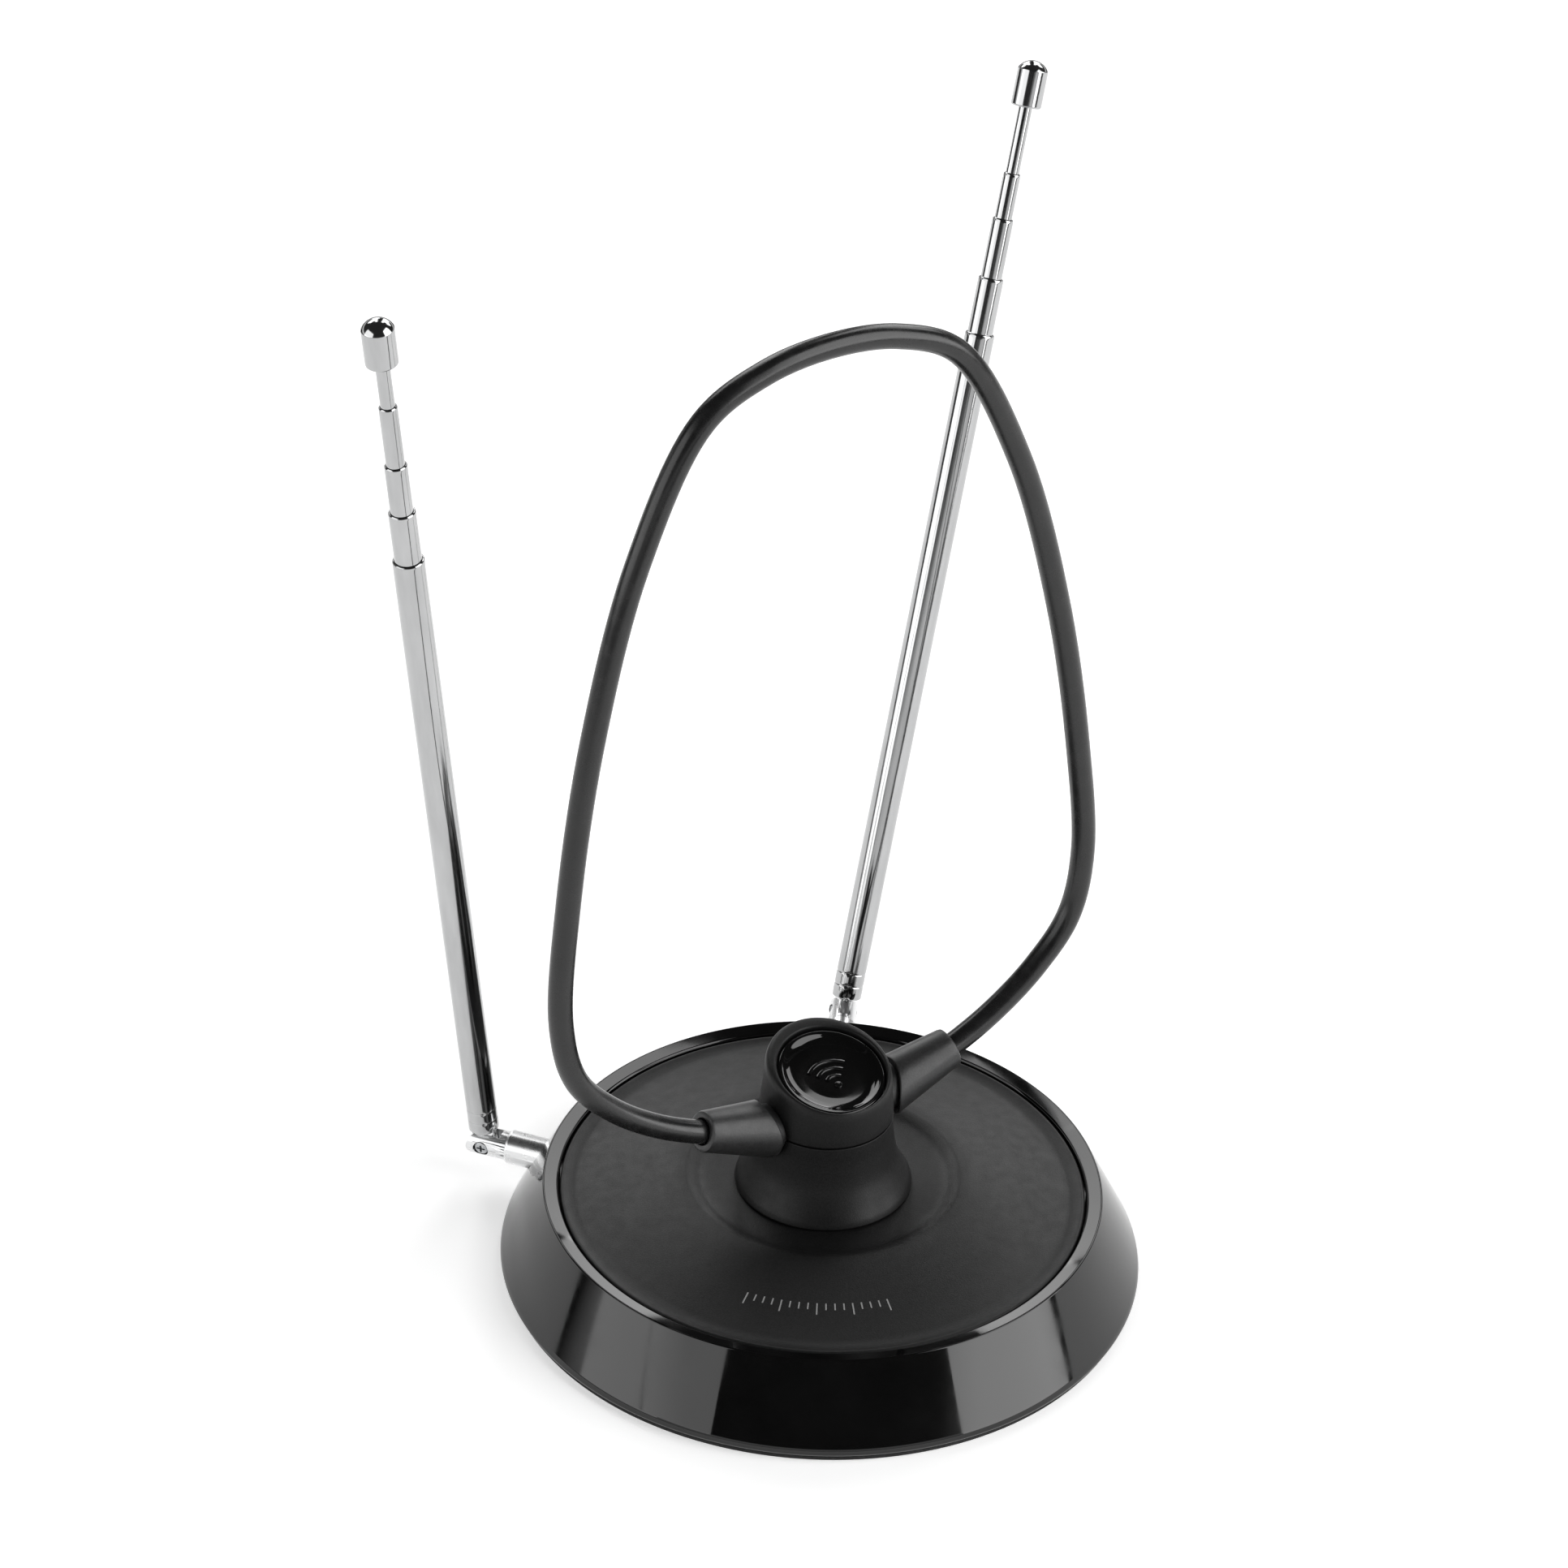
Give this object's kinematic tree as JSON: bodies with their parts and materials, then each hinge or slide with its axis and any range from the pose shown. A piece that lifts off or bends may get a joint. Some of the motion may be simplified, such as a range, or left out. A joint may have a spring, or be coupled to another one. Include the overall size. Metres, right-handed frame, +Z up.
{
  "type": "indoor television antenna",
  "caption": "Desktop television antenna: a weighted round base, a turning pedestal with a stiff sheathed wire loop, and telescopic rods on swivelling fork knuckles at the base's edge.",
  "frame": {"origin": "centre of the non-slip pad's underside", "axes": "+Z up through the pedestal's turning axis, -Y to the front of the base, +X to the right as seen from the front"},
  "size_m": [0.1817, 0.245, 0.2433],
  "materials": {
    "pad": "matt black foam rubber",
    "gloss_black": "high-gloss black moulding",
    "matt_black": "fine matt texture, black",
    "sheath": "satin black vinyl sleeve",
    "rubber_black": "matt black rubber",
    "chrome": "bright chrome plating on brass tube",
    "satin_chrome": "satin nickel-chrome plating on turned metal",
    "zinc_steel": "zinc plated steel",
    "ballast": "rough cast iron",
    "copper": "bare copper",
    "board": "green solder resist on glass-epoxy",
    "ferrite": "grey-black sintered ferrite",
    "nylon": "black nylon"
  },
  "bodies": {
    "base": {"non_slip_pad": "pad", "rim_ring": "gloss_black", "top_disc": "matt_black", "bottom_plate": "matt_black", "ballast_ring": "ballast", "base_screw_1": "zinc_steel", "base_screw_2": "zinc_steel", "base_screw_3": "zinc_steel", "circuit_board": "board", "transformer_core": "ferrite", "board_screw_1": "zinc_steel", "board_screw_2": "zinc_steel", "cable_gland": "rubber_black", "left_lead": "copper", "rear_lead": "copper", "left_bush": "nylon", "rear_bush": "nylon"},
    "pedestal": {"pedestal_skirt": "matt_black", "pedestal_nut": "nylon", "head_shell": "matt_black", "badge": "gloss_black", "left_arm": "matt_black", "right_arm": "matt_black", "loop_sheath": "sheath", "loop_core": "copper"},
    "left_knuckle": {"left_knuckle": "satin_chrome", "left_knuckle_nut": "zinc_steel", "left_pivot_screw": "zinc_steel"},
    "left_rod": {"left_plug": "satin_chrome", "left_tube_1": "chrome"},
    "left_stage_2": {"left_tube_2": "chrome"},
    "left_stage_3": {"left_tube_3": "chrome"},
    "left_stage_4": {"left_tube_4": "chrome"},
    "left_tip": {"left_tip_rod": "chrome", "left_cap": "chrome"},
    "rear_knuckle": {"rear_knuckle": "satin_chrome", "rear_knuckle_nut": "zinc_steel", "rear_pivot_screw": "zinc_steel"},
    "rear_rod": {"rear_plug": "satin_chrome", "rear_tube_1": "chrome"},
    "rear_stage_2": {"rear_tube_2": "chrome"},
    "rear_stage_3": {"rear_tube_3": "chrome"},
    "rear_stage_4": {"rear_tube_4": "chrome"},
    "rear_tip": {"rear_tip_rod": "chrome", "rear_cap": "chrome"}
  },
  "joints": [
    {"name": "pedestal_turn", "type": "hinge", "parent": "base", "child": "pedestal", "pos_m": [0, 0, 0.0236], "axis": [0, 0, 1], "range_deg": [-124, 56]},
    {"name": "left_swivel", "type": "hinge", "parent": "base", "child": "left_knuckle", "pos_m": [-0.08065, 0.0262, 0.0099], "axis": [-0.9511, 0.309, 0], "range_deg": [-82.7, 10.3]},
    {"name": "left_tilt", "type": "hinge", "parent": "left_knuckle", "child": "left_rod", "pos_m": [-0.08065, 0.0262, 0.0099], "axis": [-0.3065, -0.9433, -0.1271], "range_deg": [-3.4, 86.6]},
    {"name": "left_draw_1", "type": "slide", "parent": "left_rod", "child": "left_stage_2", "axis": [-0.0956, -0.1023, 0.9901], "range_m": [-0.0115, 0.133]},
    {"name": "left_draw_2", "type": "slide", "parent": "left_stage_2", "child": "left_stage_3", "axis": [-0.0956, -0.1023, 0.9901], "range_m": [-0.011, 0.133]},
    {"name": "left_draw_3", "type": "slide", "parent": "left_stage_3", "child": "left_stage_4", "axis": [-0.0956, -0.1023, 0.9901], "range_m": [-0.0139, 0.1296]},
    {"name": "left_draw_4", "type": "slide", "parent": "left_stage_4", "child": "left_tip", "axis": [-0.0956, -0.1023, 0.9901], "range_m": [-0.0096, 0.1334]},
    {"name": "rear_swivel", "type": "hinge", "parent": "base", "child": "rear_knuckle", "pos_m": [0.00296, 0.08475, 0.0099], "axis": [0.0349, 0.9994, 0], "range_deg": [-11, 81.8]},
    {"name": "rear_tilt", "type": "hinge", "parent": "rear_knuckle", "child": "rear_rod", "pos_m": [0.00296, 0.08475, 0.0099], "axis": [-0.9892, 0.0345, 0.1426], "range_deg": [-20.5, 69.5]},
    {"name": "rear_draw_1", "type": "slide", "parent": "rear_rod", "child": "rear_stage_2", "axis": [0.1457, 0.3453, 0.9271], "range_m": [-0.0121, 0.1324]},
    {"name": "rear_draw_2", "type": "slide", "parent": "rear_stage_2", "child": "rear_stage_3", "axis": [0.1457, 0.3453, 0.9271], "range_m": [-0.013, 0.131]},
    {"name": "rear_draw_3", "type": "slide", "parent": "rear_stage_3", "child": "rear_stage_4", "axis": [0.1457, 0.3453, 0.9271], "range_m": [-0.0095, 0.134]},
    {"name": "rear_draw_4", "type": "slide", "parent": "rear_stage_4", "child": "rear_tip", "axis": [0.1457, 0.3453, 0.9271], "range_m": [-0.0146, 0.1284]}
  ]
}
